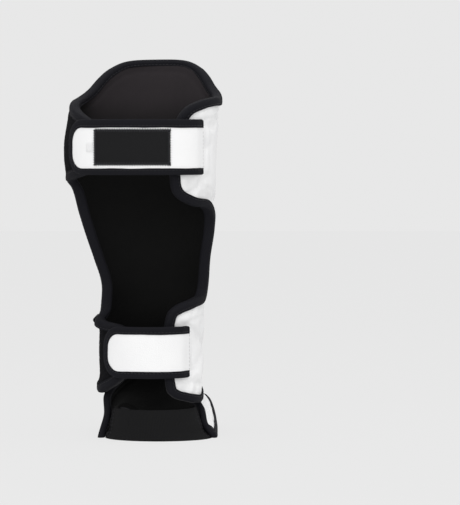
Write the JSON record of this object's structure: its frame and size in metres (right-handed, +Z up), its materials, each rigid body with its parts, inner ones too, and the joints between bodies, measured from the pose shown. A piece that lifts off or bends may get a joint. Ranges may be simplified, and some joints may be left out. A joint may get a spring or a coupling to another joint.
{
  "type": "kickboxing shin guard",
  "caption": "Padded shin and instep guard with a curved lined shell, bound edges, closed calf straps and an elastic band under the foot.",
  "frame": {"origin": "middle of the footprint on the floor that the guard stands on", "axes": "+Z up along the leg from the instep to the knee, +Y towards the toes, -Y the calf side with the straps, +X to the right seen from the calf"},
  "size_m": [0.1796, 0.236, 0.4313],
  "materials": {
    "white_leather": "smooth white synthetic leather with a soft sheen",
    "black_lining": "matt black brushed lining cloth",
    "black_tape": "black woven binding tape with stitching",
    "black_pile": "black loop pile of a touch fastener",
    "black_woven": "plain black woven label with a stitched border",
    "white_tag": "plain white satin tag",
    "black_elastic": "ribbed black elastic webbing"
  },
  "bodies": {
    "root": {"shin_pad": "white_leather", "shin_lining": "black_lining", "shin_binding": "black_tape", "upper_pile": "black_pile", "lower_pile": "black_pile", "instep_pad": "white_leather", "instep_lining": "black_lining", "instep_binding": "black_tape", "upper_strap": "white_leather", "upper_strap_binding": "black_tape", "strap_patch": "black_woven", "size_tag": "white_tag", "lower_strap": "white_leather", "lower_strap_binding": "black_tape", "foot_elastic": "black_elastic"}
  },
  "joints": []
}
